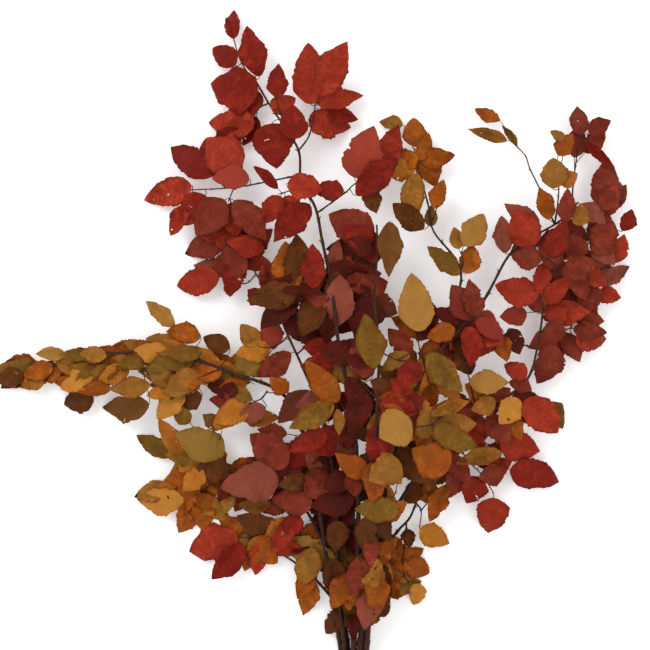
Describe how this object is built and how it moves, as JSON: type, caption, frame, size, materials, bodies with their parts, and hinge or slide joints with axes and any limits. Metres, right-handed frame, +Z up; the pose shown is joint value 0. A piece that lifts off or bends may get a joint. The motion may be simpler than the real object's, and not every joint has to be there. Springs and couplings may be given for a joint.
{
  "type": "bunch of cut autumn beech branches",
  "caption": "Loose bunch of cut, dried beech branches with red, maroon and golden-brown autumn leaves, lying on a surface.",
  "frame": {"origin": "centre of the bounding box's bottom face, on the surface that the bunch lies on", "axes": "+Y along the stems from the cut ends to the crown, +Z up from the surface, +X to the right when the bunch is seen from above with its crown away from the viewer"},
  "size_m": [0.9034, 0.9854, 0.1375],
  "materials": {
    "bark": "rough bark",
    "leaf_red": "matte dried leaf",
    "leaf_deep_red": "matte dried leaf",
    "leaf_rose_brown": "matte dried leaf",
    "leaf_maroon": "matte dried leaf",
    "leaf_gold": "matte dried leaf",
    "leaf_orange_brown": "matte dried leaf",
    "leaf_tan": "matte dried leaf",
    "leaf_olive": "matte dried leaf",
    "leaf_dark_brown": "matte dried leaf"
  },
  "bodies": {
    "root": {"stem_red_top": "bark", "stem_red_left": "bark", "stem_left_arm": "bark", "stem_lower_left": "bark", "stem_low_shoot": "bark", "stem_gold_low": "bark", "stem_red_right": "bark", "stem_red_upper": "bark", "stem_gold_top": "bark", "stem_centre": "bark", "shoot_top_tip": "leaf_deep_red", "shoot_top_left": "leaf_deep_red", "shoot_top_centre": "leaf_deep_red", "shoot_top_right": "leaf_red", "shoot_left_wing": "leaf_deep_red", "shoot_wing_root": "leaf_red", "shoot_fork_right": "leaf_deep_red", "shoot_left_red": "leaf_rose_brown", "shoot_heart_gold": "leaf_orange_brown", "shoot_heart_rose": "leaf_rose_brown", "shoot_brown_top": "leaf_rose_brown", "shoot_gold_crest": "leaf_orange_brown", "shoot_gold_side": "leaf_orange_brown", "shoot_gold_pair": "leaf_tan", "shoot_curls": "leaf_orange_brown", "shoot_gold_right": "leaf_orange_brown", "shoot_far_right": "leaf_rose_brown", "shoot_big_rose": "leaf_rose_brown", "shoot_right_crown": "leaf_red", "shoot_right_mid": "leaf_red", "shoot_right_edge": "leaf_red", "shoot_right_inner": "leaf_maroon", "shoot_right_knee": "leaf_red", "shoot_upper_maroon": "leaf_rose_brown", "shoot_upper_gold": "leaf_tan", "shoot_mid_gold": "leaf_tan", "shoot_low_red": "leaf_red", "shoot_low_gold": "leaf_gold", "shoot_dangle": "leaf_dark_brown", "shoot_centre_tan": "leaf_tan", "shoot_centre_gold": "leaf_tan", "shoot_centre_olive": "leaf_olive", "shoot_centre_deep": "leaf_rose_brown", "shoot_heart_maroon": "leaf_orange_brown", "shoot_heart_dark": "leaf_maroon", "shoot_arm_red": "leaf_red", "shoot_left_inner": "leaf_rose_brown", "shoot_arm_a": "leaf_olive", "shoot_arm_b": "leaf_olive", "shoot_arm_c": "leaf_orange_brown", "shoot_arm_tip": "leaf_orange_brown", "shoot_low_tan": "leaf_olive", "shoot_low_far": "leaf_olive", "shoot_rose_high": "leaf_rose_brown", "shoot_rose_low": "leaf_rose_brown", "shoot_low_tip": "leaf_red", "shoot_skirt_left": "leaf_orange_brown", "shoot_skirt_mid": "leaf_dark_brown", "shoot_skirt_right": "leaf_olive"}
  },
  "joints": []
}
